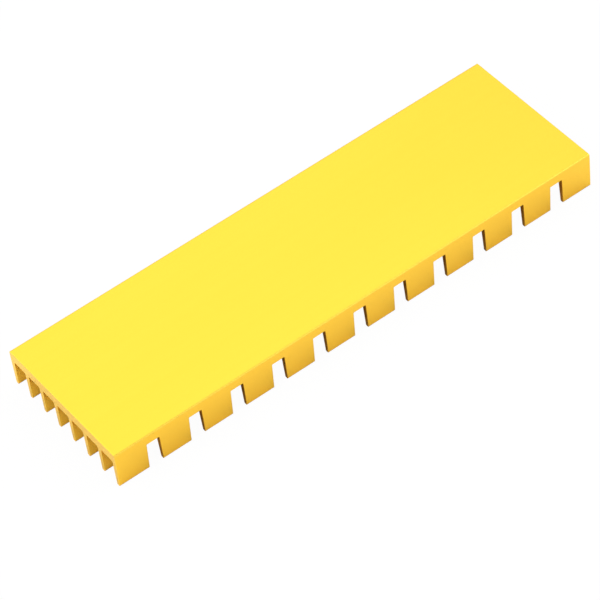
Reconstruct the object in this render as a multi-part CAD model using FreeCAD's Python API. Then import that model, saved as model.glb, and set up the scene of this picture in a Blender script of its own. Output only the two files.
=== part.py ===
import FreeCAD, Part
import math
import os

# Extruded aluminium heat sink: a flat base with a comb of fins under it, sawn across into pins.
# It lies on its fin tips with the flat base face up. X runs along the extrusion, Y across the
# fins and Z up. The origin is under the middle of the part, on the plane of the fin tips.
# All sizes are in millimetres.

# Whole part
length = 70.0
width = 21.25

# Base plate
base_thickness = 1.44
long_edge_radius = 0.2      # rounding along the two long edges of the base face
end_edge_break = 0.12       # flat break along the two short edges of the base face

# Fins, drawn once in the extruded section
fin_count = 8
fin_height = 3.98           # from the underside of the base to the tip
fin_root_thickness = 0.70
fin_tip_thickness = 0.50
fin_tip_radius = 0.15
fin_root_bevel = 0.15       # small filling in the corner between fin and base

# Saw slots across the fins
slot_width = 1.87
pin_length = 4.08           # length of fin left between two slots
end_pin_minimum = 4.0       # shortest pin that is left at either end
slot_depth_in_base = 0.04   # the saw just marks the underside of the base
slot_shift = -0.04          # the row of slots sits a little off the middle

# How far each cutter reaches past what it cuts
overrun = 1.0

# Heights that follow from the sizes above
underside = fin_height
top = fin_height + base_thickness


def corner_arc(before, corner, after, radius):
    """Start, middle and end of the arc that rounds one corner of an outline."""
    back = before - corner
    ahead = after - corner
    half_angle = back.getAngle(ahead) / 2.0
    reach = 0.49 * min(back.Length, ahead.Length)
    setback = min(radius / math.tan(half_angle), reach)
    arc_radius = setback * math.tan(half_angle)
    start = corner + back.normalize() * setback
    end = corner + ahead.normalize() * setback
    inward = ((start + end) * 0.5 - corner).normalize()
    middle = corner + inward * (arc_radius / math.sin(half_angle) - arc_radius)
    return start, middle, end


def rounded_face(outline):
    """Flat face inside a closed list of (point, radius) corners, with tangent arcs at the rounded ones."""
    stretches = []
    for i, (point, radius) in enumerate(outline):
        before = outline[i - 1][0]
        after = outline[(i + 1) % len(outline)][0]
        rounded = radius > 0
        stretches.append(corner_arc(before, point, after, radius) if rounded else (point,))
    edges = []
    for i, stretch in enumerate(stretches):
        if len(stretch) == 3:
            edges.append(Part.Arc(*stretch).toShape())
        following = stretches[(i + 1) % len(stretches)][0]
        edges.append(Part.LineSegment(stretch[-1], following).toShape())
    return Part.Face(Part.Wire(edges))


def fin_flank(centre, side):
    """Corners (y, z, radius) down one tapered flank of a fin, from the base to the tip."""
    root = centre + side * fin_root_thickness / 2.0
    tip = centre + side * fin_tip_thickness / 2.0
    slope = (root - tip) / fin_height
    return [
        (root + side * fin_root_bevel, underside, 0.0),
        (root - slope * fin_root_bevel, underside - fin_root_bevel, 0.0),
        (tip, 0.0, fin_tip_radius),
    ]


def section_face():
    """The extruded section: a base with rounded upper edges over the whole comb of fins.

    The outer flanks of the two outer fins run on from the sides of the base.
    """
    side_face = width / 2.0
    outer_centre = side_face - fin_root_thickness / 2.0
    outer_tip = outer_centre + fin_tip_thickness / 2.0
    fin_pitch = 2.0 * outer_centre / (fin_count - 1)
    centres = [-outer_centre + i * fin_pitch for i in range(fin_count)]
    outer_flank = [
        (side_face, top, long_edge_radius),
        (side_face, underside, 0.0),
        (outer_tip, 0.0, fin_tip_radius),
    ]
    outline = [(-y, z, radius) for y, z, radius in outer_flank]
    for here, following in zip(centres, centres[1:]):
        outline += fin_flank(here, 1)[::-1]
        outline += fin_flank(following, -1)
    outline += outer_flank[::-1]
    return rounded_face([(FreeCAD.Vector(-length / 2.0, y, z), r) for y, z, r in outline])


def extruded_bar():
    """The bar as it leaves the die, cut to length."""
    return section_face().extrude(FreeCAD.Vector(length, 0, 0))


def slot_centres():
    """Places of the saw slots along X: as many as leave a full pin at both ends."""
    pitch = pin_length + slot_width
    room = length - 2.0 * (end_pin_minimum + abs(slot_shift)) - slot_width
    count = int(room // pitch) + 1
    first = slot_shift - (count - 1) * pitch / 2.0
    return [first + i * pitch for i in range(count)]


def slot_cutter(centre):
    """What one saw pass takes away, right across the bar."""
    corner = FreeCAD.Vector(centre - slot_width / 2.0, -width / 2.0 - overrun, -overrun)
    height = underside + slot_depth_in_base + overrun
    return Part.makeBox(slot_width, width + 2.0 * overrun, height, corner)


def end_edge_cutter(side):
    """Wedge that breaks the sharp short edge of the base face at one end."""
    end = side * length / 2.0
    start_y = -width / 2.0 - overrun
    reach = end_edge_break + overrun
    corners = [
        (end - side * reach, top + overrun),
        (end + side * overrun, top + overrun),
        (end + side * overrun, top - reach),
    ]
    points = [FreeCAD.Vector(x, start_y, z) for x, z in corners]
    face = Part.Face(Part.makePolygon(points + points[:1]))
    return face.extrude(FreeCAD.Vector(0, width + 2.0 * overrun, 0))


def heat_sink():
    """The finished part: extruded, sawn across, and broken along the short edges of its face."""
    cutters = [slot_cutter(x) for x in slot_centres()]
    cutters += [end_edge_cutter(side) for side in (-1, 1)]
    return extruded_bar().cut(cutters).Solids[0]


os.makedirs("parts", exist_ok=True)
heat_sink().exportStep("parts/heat_sink.step")
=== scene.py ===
import math

import bmesh
import bpy
from mathutils import Matrix, Vector


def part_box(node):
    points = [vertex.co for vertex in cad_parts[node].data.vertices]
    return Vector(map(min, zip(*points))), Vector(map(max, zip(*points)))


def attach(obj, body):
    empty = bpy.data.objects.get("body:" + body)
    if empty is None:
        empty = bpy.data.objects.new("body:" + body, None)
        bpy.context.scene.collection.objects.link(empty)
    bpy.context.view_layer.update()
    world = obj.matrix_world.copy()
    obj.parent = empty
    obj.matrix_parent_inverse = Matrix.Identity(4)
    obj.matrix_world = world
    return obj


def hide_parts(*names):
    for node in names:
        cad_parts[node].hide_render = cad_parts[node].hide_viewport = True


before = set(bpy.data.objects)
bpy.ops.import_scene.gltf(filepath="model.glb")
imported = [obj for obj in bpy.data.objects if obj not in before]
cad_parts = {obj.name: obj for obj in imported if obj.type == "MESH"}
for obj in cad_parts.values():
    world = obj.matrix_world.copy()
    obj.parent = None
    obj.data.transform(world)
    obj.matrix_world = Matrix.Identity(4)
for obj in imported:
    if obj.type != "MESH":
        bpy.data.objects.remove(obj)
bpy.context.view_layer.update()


# The heat sink: one aluminium extrusion, a thin base over a comb of eight fins. A gang of saws
# cuts it crosswise into pins, its edges are lightly broken, and the whole is etched satin and
# anodised gold. Its sizes here are in millimetres, and the mesh is brought to metres at the end.
MM = 0.001
low_corner, high_corner = [Vector(corner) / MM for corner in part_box("heat_sink")]
bar_length = high_corner.x - low_corner.x
bar_width = high_corner.y - low_corner.y
top_level = high_corner.z
base_thickness = 1.44
underside = top_level - base_thickness
long_edge_radius = 0.2      # along the two long edges of the flat face
upright_margin = 0.15       # the sides are upright down to this far above the underside

fin_count = 8
fin_root_thickness = 0.70
fin_tip_thickness = 0.50
fin_tip_radius = 0.15
fin_root_fillet = 0.22
arc_steps = 6               # straight steps in each rounded corner

slot_count = 11
slot_spacing = 5.95
slot_width = 1.77           # at the top of the slot
slot_mouth = 1.96           # at the fin tips
slot_corner_radius = 0.1
slot_mark_depth = 0.04      # how far the saw runs into the base
slot_shift = -0.04          # the row of slots sits a little off the middle
saw_overrun = 1.0           # how far the saws reach past the bar

end_edge_break = 0.12       # width of the break along the short edges of the flat face
sawn_edge_break = 0.05      # and along the sawn edges
edge_break_steps = 3        # narrow faces across each broken edge
sharp_angle = math.radians(35)      # an edge that turns more than this is sharp
on_surface = 0.01           # an edge this near an end or a side lies on it
same_point = 1e-4           # points this near each other are one


def rounded_corner(before, corner, after, radius):
    """Points of the tangent arc that rounds one corner of an outline."""
    back = (before - corner).normalized()
    ahead = (after - corner).normalized()
    half_angle = back.angle(ahead) / 2
    centre = corner + (back + ahead).normalized() * radius / math.sin(half_angle)
    start = corner + back * radius / math.tan(half_angle) - centre
    end = corner + ahead * radius / math.tan(half_angle) - centre
    turn = math.pi - 2 * half_angle
    shares = [i / arc_steps for i in range(arc_steps + 1)]
    return [
        centre + (start * math.sin(turn * (1 - t)) + end * math.sin(turn * t)) / math.sin(turn)
        for t in shares
    ]


def section_corners():
    """Corners (point, radius) of the extruded section, anticlockwise as seen from +X."""
    side = bar_width / 2
    outer = side - fin_root_thickness / 2
    centres = [-outer + 2 * outer * i / (fin_count - 1) for i in range(fin_count)]
    outer_flank = [
        (Vector((outer + fin_tip_thickness / 2, 0)), fin_tip_radius),
        (Vector((side, underside + upright_margin)), 0),
        (Vector((side, top_level)), long_edge_radius),
    ]
    corners = [(Vector((-point.x, point.y)), radius) for point, radius in reversed(outer_flank)]
    for here, following in zip(centres, centres[1:]):
        corners += [
            (Vector((here + fin_tip_thickness / 2, 0)), fin_tip_radius),
            (Vector((here + fin_root_thickness / 2, underside)), fin_root_fillet),
            (Vector((following - fin_root_thickness / 2, underside)), fin_root_fillet),
            (Vector((following - fin_tip_thickness / 2, 0)), fin_tip_radius),
        ]
    return corners + outer_flank


def section_mesh():
    """The section as one flat face at the -X end of the bar."""
    corners = section_corners()
    outline = []
    for i, (point, radius) in enumerate(corners):
        before = corners[i - 1][0]
        after = corners[(i + 1) % len(corners)][0]
        outline += rounded_corner(before, point, after, radius) if radius else [point]
    mesh = bpy.data.meshes.new("extruded_section")
    mesh.from_pydata([(-bar_length / 2, y, z) for y, z in outline], [], [range(len(outline))])
    return mesh


def add_node(tree, kind, settings=(), **inputs):
    """Adds a node, sets its own choices, and gives its inputs, by name, a value or a socket."""
    node = tree.nodes.new(kind)
    for name, value in dict(settings).items():
        setattr(node, name, value)
    for name, value in inputs.items():
        socket = next(s for s in node.inputs if s.enabled and s.name == name.replace("_", " "))
        if isinstance(value, bpy.types.NodeSocket):
            tree.links.new(value, socket)
        else:
            socket.default_value = value
    return node


def along(tree, **parts):
    """A vector made of the parts X, Y and Z, each a value or a socket."""
    return add_node(tree, "ShaderNodeCombineXYZ", **parts).outputs[0]


def worked_out(tree, operation, *values, kind="ShaderNodeMath"):
    """The result of an arithmetic node for its inputs in order, each a value or a socket."""
    node = add_node(tree, kind, {"operation": operation})
    for value, socket in zip(values, node.inputs):
        if isinstance(value, bpy.types.NodeSocket):
            tree.links.new(value, socket)
        else:
            socket.default_value = value
    return node.outputs[0]


def drawn_out_tree():
    """Geometry nodes that draw a flat face out along a vector into a closed solid."""
    tree = bpy.data.node_groups.new("drawn_out", "GeometryNodeTree")
    tree.interface.new_socket("Face", in_out="INPUT", socket_type="NodeSocketGeometry")
    tree.interface.new_socket("Reach", in_out="INPUT", socket_type="NodeSocketVector")
    tree.interface.new_socket("Solid", in_out="OUTPUT", socket_type="NodeSocketGeometry")
    given = tree.nodes.new("NodeGroupInput").outputs
    drawn = add_node(tree, "GeometryNodeExtrudeMesh", {"mode": "FACES"},
                     Mesh=given["Face"], Offset=given["Reach"], Individual=False)
    start = add_node(tree, "GeometryNodeFlipFaces", Mesh=given["Face"])
    both = add_node(tree, "GeometryNodeJoinGeometry")
    tree.links.new(drawn.outputs["Mesh"], both.inputs[0])
    tree.links.new(start.outputs[0], both.inputs[0])
    closed = add_node(tree, "GeometryNodeMergeByDistance", Geometry=both.outputs[0])
    tree.links.new(closed.outputs[0], tree.nodes.new("NodeGroupOutput").inputs[0])
    return tree


sawn_bar_sizes = {
    "Length": bar_length,
    "Across": bar_width + 2 * saw_overrun,
    "Slots": slot_count,
    "Slot Spacing": slot_spacing,
    "First Slot": slot_shift - slot_spacing * (slot_count - 1) / 2,
    "Slot Top": underside + slot_mark_depth,
    "Saw Height": underside + slot_mark_depth + saw_overrun,
    "Slot Width": slot_width,
    "Saw Foot Width": slot_mouth + (slot_mouth - slot_width) * saw_overrun / underside,
    "Corner Radius": slot_corner_radius,
}


def sawn_bar_tree():
    """Geometry nodes that draw out the bar and take one saw slot after another from it."""
    tree = bpy.data.node_groups.new("sawn_bar", "GeometryNodeTree")
    tree.interface.new_socket("Section", in_out="INPUT", socket_type="NodeSocketGeometry")
    for name, value in sawn_bar_sizes.items():
        kind = "NodeSocketInt" if isinstance(value, int) else "NodeSocketFloat"
        tree.interface.new_socket(name, in_out="INPUT", socket_type=kind)
    tree.interface.new_socket("Finish", in_out="INPUT", socket_type="NodeSocketMaterial")
    tree.interface.new_socket("Sawn Bar", in_out="OUTPUT", socket_type="NodeSocketGeometry")
    given = tree.nodes.new("NodeGroupInput").outputs
    drawn_out = {"node_tree": drawn_out_tree()}
    bar = add_node(tree, "GeometryNodeGroup", drawn_out,
                   Face=given["Section"], Reach=along(tree, X=given["Length"]))

    outline = add_node(tree, "GeometryNodeCurvePrimitiveQuadrilateral", {"mode": "TRAPEZOID"},
                       Height=given["Saw Height"], Top_Width=given["Slot Width"],
                       Bottom_Width=given["Saw Foot Width"], Offset=0.0)
    rounded = add_node(tree, "GeometryNodeFilletCurve", {"mode": "POLY"}, Count=arc_steps,
                       Curve=outline.outputs[0], Radius=given["Corner Radius"], Limit_Radius=True)
    blade = add_node(tree, "GeometryNodeFillCurve", {"mode": "NGONS"}, Curve=rounded.outputs[0])
    cutter = add_node(tree, "GeometryNodeGroup", drawn_out,
                      Face=blade.outputs[0], Reach=along(tree, Z=given["Across"]))
    half_across = worked_out(tree, "MULTIPLY", given["Across"], 0.5)
    half_height = worked_out(tree, "MULTIPLY", given["Saw Height"], 0.5)
    middle = worked_out(tree, "SUBTRACT", given["Slot Top"], half_height)
    upright = add_node(tree, "GeometryNodeTransform", Geometry=cutter.outputs[0],
                       Translation=along(tree, Y=half_across, Z=middle),
                       Rotation=(math.pi / 2, 0, 0))

    places = add_node(tree, "GeometryNodeMeshLine", Count=given["Slots"],
                      Start_Location=along(tree, X=given["First Slot"]),
                      Offset=along(tree, X=given["Slot Spacing"]))
    row = add_node(tree, "GeometryNodeInstanceOnPoints",
                   Points=places.outputs[0], Instance=upright.outputs[0])
    cutters = add_node(tree, "GeometryNodeRealizeInstances", Geometry=row.outputs[0])
    sawn = add_node(tree, "GeometryNodeMeshBoolean",
                    {"operation": "DIFFERENCE", "solver": "EXACT"},
                    Mesh_1=bar.outputs[0], Mesh_2=cutters.outputs[0])
    plain = add_node(tree, "GeometryNodeRealizeInstances", Geometry=sawn.outputs[0])
    finished = add_node(tree, "GeometryNodeSetMaterial",
                        Geometry=plain.outputs[0], Material=given["Finish"])
    tree.links.new(finished.outputs[0], tree.nodes.new("NodeGroupOutput").inputs[0])
    return tree


def applied(piece):
    """The piece's mesh with its modifiers applied; the modifiers are then removed."""
    evaluated = piece.evaluated_get(bpy.context.evaluated_depsgraph_get())
    mesh = bpy.data.meshes.new_from_object(evaluated)
    piece.modifiers.clear()
    return mesh


def mark_edges_to_break(mesh):
    """Gives each outward sharp edge its share of the widest break, and leaves the saw marks sharp.

    Down the corners of an end the break goes gently over from the widest to the sawn one.
    """
    work = bmesh.new()
    work.from_mesh(mesh)
    bmesh.ops.remove_doubles(work, verts=work.verts, dist=same_point)
    weight = work.edges.layers.float.new("bevel_weight_edge")
    least = sawn_edge_break / end_edge_break
    for edge in work.edges:
        middle = (edge.verts[0].co + edge.verts[1].co) / 2
        at_end = abs(middle.x) > bar_length / 2 - on_surface
        at_side = abs(middle.y) > bar_width / 2 - on_surface
        in_saw_mark = middle.z > underside - slot_corner_radius and not at_end and not at_side
        if edge.calc_face_angle_signed() > sharp_angle and not in_saw_mark:
            down = min((top_level - middle.z) / long_edge_radius, 1.0) if at_end else 1.0
            edge[weight] = 1.0 + (least - 1.0) * down * down * (3.0 - 2.0 * down)
    work.to_mesh(mesh)
    work.free()


slant_limit = 0.99          # a face whose normal has no larger part lies aslant
cut_limit = 0.01            # away from the ends, a normal with more than this along X is in a slot
sawn_from = 0.5             # part of the normal along X where the saw marks begin to show
sawn_fully = 0.9            # and where they show in full
painted_shade_in_slots = 0.85       # how much of the painted shade the slot walls get, next to 1 on the fin tips


def mark_surfaces(mesh):
    """Notes on each face, from 0 to 1, how it was cut, where painted light and painted shade go on
    it, and where its edges are worn.
    """
    marks = {"painted_bounce_light": [], "sawn": [], "painted_shade": [], "worn_and_highlight": []}
    for face in mesh.polygons:
        along_bar, across, upward = [abs(part) for part in face.normal]
        at_end = abs(face.center.x) > bar_length / 2 - end_edge_break
        at_side = abs(face.center.y) > bar_width / 2 - long_edge_radius
        at_tip = face.center.z < fin_tip_radius
        at_face = face.center.z > top_level - long_edge_radius
        outside = at_end or at_side or at_tip or at_face
        in_slot = along_bar > cut_limit and not at_end
        slanting = max(along_bar, across, upward) < slant_limit
        sawn = (along_bar - sawn_from) / (sawn_fully - sawn_from)
        # painted light: faces between the fins and under the base get a brighter, more orange tone
        marks["painted_bounce_light"].append(float(not outside and not in_slot))
        marks["sawn"].append(min(max(sawn, 0.0), 1.0))
        # painted shade: the fin tips and, a little less, the slot walls get a dark tone
        marks["painted_shade"].append(max(float(at_tip), painted_shade_in_slots * in_slot))
        # paler broken edges at the ends and along the flat face: partly wear, partly a painted
        # highlight
        marks["worn_and_highlight"].append(float(slanting and not at_tip and (at_end or at_face)))
    for name, shares in marks.items():
        mesh.attributes.new(name, "FLOAT", "FACE").data.foreach_set("value", shares)


gold = (0.93, 0.575, 0.047, 1)
deep_gold = (0.91, 0.54, 0.036, 1)
lined_gold = (0.94, 0.60, 0.06, 1)
lined_share = 0.4           # how much of lined_gold shows along the die lines
mark_tones = {              # the tone of each kind of marked face, and how much of it shows
    "painted_bounce_light": ((1.0, 0.60, 0.052, 1), 0.9),      # painted light: brighter and more orange between the fins and under the base, as if lit by their reflections in each other
    "sawn": ((0.95, 0.635, 0.14, 1), 0.8),      # paler on the cut metal
    "painted_shade": ((0.52, 0.23, 0.006, 1), 0.95),     # painted shade: dark on the fin tips and in the slots
    "worn_and_highlight": ((0.95, 0.63, 0.075, 1), 0.8),      # broken edges: paler where the dye wears thin, and a painted highlight along the top edges
}
etched_roughness = 0.22
grain_roughness = 0.05      # added where the grain stands highest
cloud_roughness = 0.03      # added where the dye is palest
sawn_roughness = 0.10       # added on the sawn faces
saw_line_roughness = 0.1    # and along their lines
noises = {                  # waves in a metre along X, Y and Z, and octaves of finer ones
    "cloud": ((35, 60, 60), 3.0),
    "grain": ((9000, 9000, 9000), 2.0),
    "die_lines": ((9, 1500, 1500), 5.0),
    "saw_lines": ((0, 90, 3000), 4.0),
}
grain_depth = 0.8e-6        # in metres, as the depths below
die_line_depth = 3.5e-6
saw_line_depth = 7e-6
even_finish = {             # the same all over: the metal, and the clear oxide over its dye
    "Metallic": 1.0,
    "Specular Tint": (1.0, 0.95, 0.7, 1),       # the dye still shows where light glances off
    "Coat Weight": 0.1,
    "Coat Roughness": 0.25,
    "Coat IOR": 1.6,
}


def noise(tree, place, waves, octaves):
    """Noise from 0 to 1 that has so many waves in a metre along X, Y and Z."""
    waving = worked_out(tree, "MULTIPLY", place, waves, kind="ShaderNodeVectorMath")
    return add_node(tree, "ShaderNodeTexNoise", Vector=waving, Scale=1.0, Detail=octaves).outputs[0]


def blended(tree, amount, first, second, kind="RGBA"):
    """The first of two colours or numbers at amount 0, and the second at amount 1."""
    node = add_node(tree, "ShaderNodeMix", {"data_type": kind}, Factor=amount, A=first, B=second)
    return next(socket for socket in node.outputs if socket.enabled)


def dye_and_painted_light(tree, waves, marks):
    """The dye: a little cloudy, paler along the die lines and on sawn faces, with painted light
    between the fins, painted shade on the fin tips and in the slots, and edges paler with wear and a
    painted highlight.
    """
    colour = blended(tree, waves["cloud"], deep_gold, gold)
    lined = worked_out(tree, "MULTIPLY", waves["die_lines"], lined_share)
    colour = blended(tree, lined, colour, lined_gold)
    for name, (tone, share) in mark_tones.items():
        shown = worked_out(tree, "MULTIPLY", marks[name], share)
        colour = blended(tree, shown, colour, tone)
    return colour


def surface_roughness(tree, waves, sawn):
    """Uneven with the grain and the clouds, and more on the sawn faces, in lines."""
    rough = worked_out(tree, "MULTIPLY_ADD", waves["grain"], grain_roughness, etched_roughness)
    rough = worked_out(tree, "MULTIPLY_ADD", waves["cloud"], cloud_roughness, rough)
    lines = worked_out(tree, "MULTIPLY_ADD", waves["saw_lines"], saw_line_roughness, sawn_roughness)
    return worked_out(tree, "MULTIPLY_ADD", sawn, lines, rough)


def surface_relief(tree, waves, sawn):
    """Die lines along the drawn faces, saw lines across the cut ones, and grain on both."""
    drawn = worked_out(tree, "MULTIPLY", waves["die_lines"], die_line_depth)
    cut = worked_out(tree, "MULTIPLY", waves["saw_lines"], saw_line_depth)
    lines = blended(tree, sawn, drawn, cut, kind="FLOAT")
    height = worked_out(tree, "MULTIPLY_ADD", waves["grain"], grain_depth, lines)
    return add_node(tree, "ShaderNodeBump", Height=height, Strength=1.0, Distance=1.0).outputs[0]


def gold_anodised():
    """Satin gold anodising over etched aluminium."""
    material = bpy.data.materials.new("gold_anodised_satin")
    material.use_nodes = True
    tree = material.node_tree
    shader = tree.nodes["Principled BSDF"]
    for name, value in even_finish.items():
        shader.inputs[name].default_value = value
    place = add_node(tree, "ShaderNodeTexCoord").outputs["Object"]
    waves = {name: noise(tree, place, *size) for name, size in noises.items()}
    marks = {}
    for name in mark_tones:
        marks[name] = add_node(tree, "ShaderNodeAttribute", {"attribute_name": name}).outputs["Fac"]
    tree.links.new(dye_and_painted_light(tree, waves, marks), shader.inputs["Base Color"])
    tree.links.new(surface_roughness(tree, waves, marks["sawn"]), shader.inputs["Roughness"])
    tree.links.new(surface_relief(tree, waves, marks["sawn"]), shader.inputs["Normal"])
    return material


heat_sink = bpy.data.objects.new("gold_heat_sink", section_mesh())
bpy.context.scene.collection.objects.link(heat_sink)
finish = gold_anodised()
sawing = heat_sink.modifiers.new("sawing", "NODES")
sawing.node_group = sawn_bar_tree()
for item in sawing.node_group.interface.items_tree:
    if item.in_out == "INPUT" and item.name in sawn_bar_sizes:
        sawing[item.identifier] = sawn_bar_sizes[item.name]
    elif item.name == "Finish":
        sawing[item.identifier] = finish
heat_sink.data = applied(heat_sink)
mark_edges_to_break(heat_sink.data)

breaking = heat_sink.modifiers.new("edge_break", "BEVEL")
breaking.limit_method = "WEIGHT"
breaking.offset_type = "WIDTH"
breaking.width = end_edge_break
breaking.segments = edge_break_steps
breaking.use_clamp_overlap = False
heat_sink.data = applied(heat_sink)
heat_sink.data.shade_smooth()
heat_sink.data.set_sharp_from_angle(angle=sharp_angle)
shading = heat_sink.modifiers.new("shading", "WEIGHTED_NORMAL")
shading.keep_sharp = True
heat_sink.data = applied(heat_sink)
mark_surfaces(heat_sink.data)
heat_sink.data.transform(Matrix.Scale(MM, 4))

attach(heat_sink, "root")
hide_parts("heat_sink")


# The floor: a plain white studio sweep. It lights and mirrors in the part as real white card does,
# and the camera sees it bright, with only a trace of the part's shadow.
half_floor = 2.0            # metres
card_white = (0.85, 0.85, 0.85, 1)
bright_white = (1.0, 1.0, 1.0, 1)
shadow_trace = 0.03         # how much of the card's own shading the camera sees


def seen_by_camera(tree):
    """1 for what the camera sees directly, and 0 for what lights or mirrors in the part."""
    return add_node(tree, "ShaderNodeLightPath").outputs["Is Camera Ray"]


def mixed(tree, amount, first, second):
    """The first of two shaders at amount 0, and the second at amount 1."""
    mix = add_node(tree, "ShaderNodeMixShader", Fac=amount)
    tree.links.new(first, mix.inputs[1])
    tree.links.new(second, mix.inputs[2])
    return mix.outputs[0]


def studio_white():
    """White card that the camera sees almost evenly bright."""
    material = bpy.data.materials.new("studio_white")
    material.use_nodes = True
    tree = material.node_tree
    tree.nodes.clear()
    card = add_node(tree, "ShaderNodeBsdfDiffuse", Color=card_white).outputs[0]
    glow = add_node(tree, "ShaderNodeEmission", Color=bright_white).outputs[0]
    bright_card = mixed(tree, shadow_trace, glow, card)
    look = mixed(tree, seen_by_camera(tree), card, bright_card)
    tree.links.new(look, tree.nodes.new("ShaderNodeOutputMaterial").inputs["Surface"])
    return material


floor_mesh = bpy.data.meshes.new("studio_floor")
floor_corners = [(x * half_floor, y * half_floor, 0) for x, y in ((-1, -1), (1, -1), (1, 1), (-1, 1))]
floor_mesh.from_pydata(floor_corners, [], [(0, 1, 2, 3)])
floor_mesh.materials.append(studio_white())
floor = bpy.data.objects.new("studio_floor", floor_mesh)
bpy.context.scene.collection.objects.link(floor)


# The light: five round soft boxes in a pale surround. A wide one behind shines in the flat face, and
# the others stand round the part and fill its sides and fins.
surround_strength = 0.5
backdrop_strength = 1.0
box_distance = 0.9          # metres
soft_boxes = {              # azimuth and elevation in degrees, width in metres, power in watts
    "left_box": (-90, 40, 0.6, 3.5),
    "back_left_box": (-135, 25, 0.8, 1.2),
    "back_box": (180, 60, 1.2, 3.76),
    "front_box": (45, 30, 1.0, 2.86),
    "right_box": (90, 30, 1.0, 3.95),
}


def studio_surround():
    """A pale surround for the part, which the camera sees as a white backdrop."""
    world = bpy.data.worlds.new("studio_surround")
    world.use_nodes = True
    tree = world.node_tree
    tree.nodes.clear()
    surround, backdrop = [
        add_node(tree, "ShaderNodeBackground", Color=bright_white, Strength=strength).outputs[0]
        for strength in (surround_strength, backdrop_strength)
    ]
    look = mixed(tree, seen_by_camera(tree), surround, backdrop)
    tree.links.new(look, tree.nodes.new("ShaderNodeOutputWorld").inputs["Surface"])
    return world


def outward(azimuth, elevation):
    """Unit vector from the part towards a light; azimuth 0 is in front, at -Y."""
    level = math.cos(elevation)
    return Vector((math.sin(azimuth) * level, -math.cos(azimuth) * level, math.sin(elevation)))


bpy.context.scene.world = studio_surround()
bpy.context.scene.view_settings.view_transform = "Standard"
for box_name, (azimuth, elevation, width, power) in soft_boxes.items():
    box_light = bpy.data.lights.new(box_name, "AREA")
    box_light.shape = "DISK"
    box_light.size = width
    box_light.energy = power
    box = bpy.data.objects.new(box_name, box_light)
    bpy.context.scene.collection.objects.link(box)
    towards = outward(math.radians(azimuth), math.radians(elevation))
    facing = towards.to_track_quat("Z", "Y").to_matrix().to_4x4()
    box.matrix_world = Matrix.Translation(towards * box_distance) @ facing
    box.visible_camera = False


# The camera: a long lens from in front and to the left, above the part.
aim_point = Vector((-3.7436, -3.7975, 2.745)) * MM
camera_distance = 411.13 * MM
camera_azimuth = math.radians(-31.2506)
camera_elevation = math.radians(47.5615)
camera_roll = math.radians(-8.1528)
camera_lens = 210.616       # millimetres
nearest_seen = 0.01         # metres
farthest_seen = 10.0
camera_data = bpy.data.cameras.new("camera")
camera_data.lens = camera_lens
camera_data.clip_start = nearest_seen
camera_data.clip_end = farthest_seen
camera = bpy.data.objects.new("camera", camera_data)
bpy.context.scene.collection.objects.link(camera)
turned = (Matrix.Rotation(camera_azimuth, 4, "Z")
          @ Matrix.Rotation(math.pi / 2 - camera_elevation, 4, "X")
          @ Matrix.Rotation(camera_roll, 4, "Z"))
drawn_back = Matrix.Translation((0, 0, camera_distance))
camera.matrix_world = Matrix.Translation(aim_point) @ turned @ drawn_back
bpy.context.scene.camera = camera
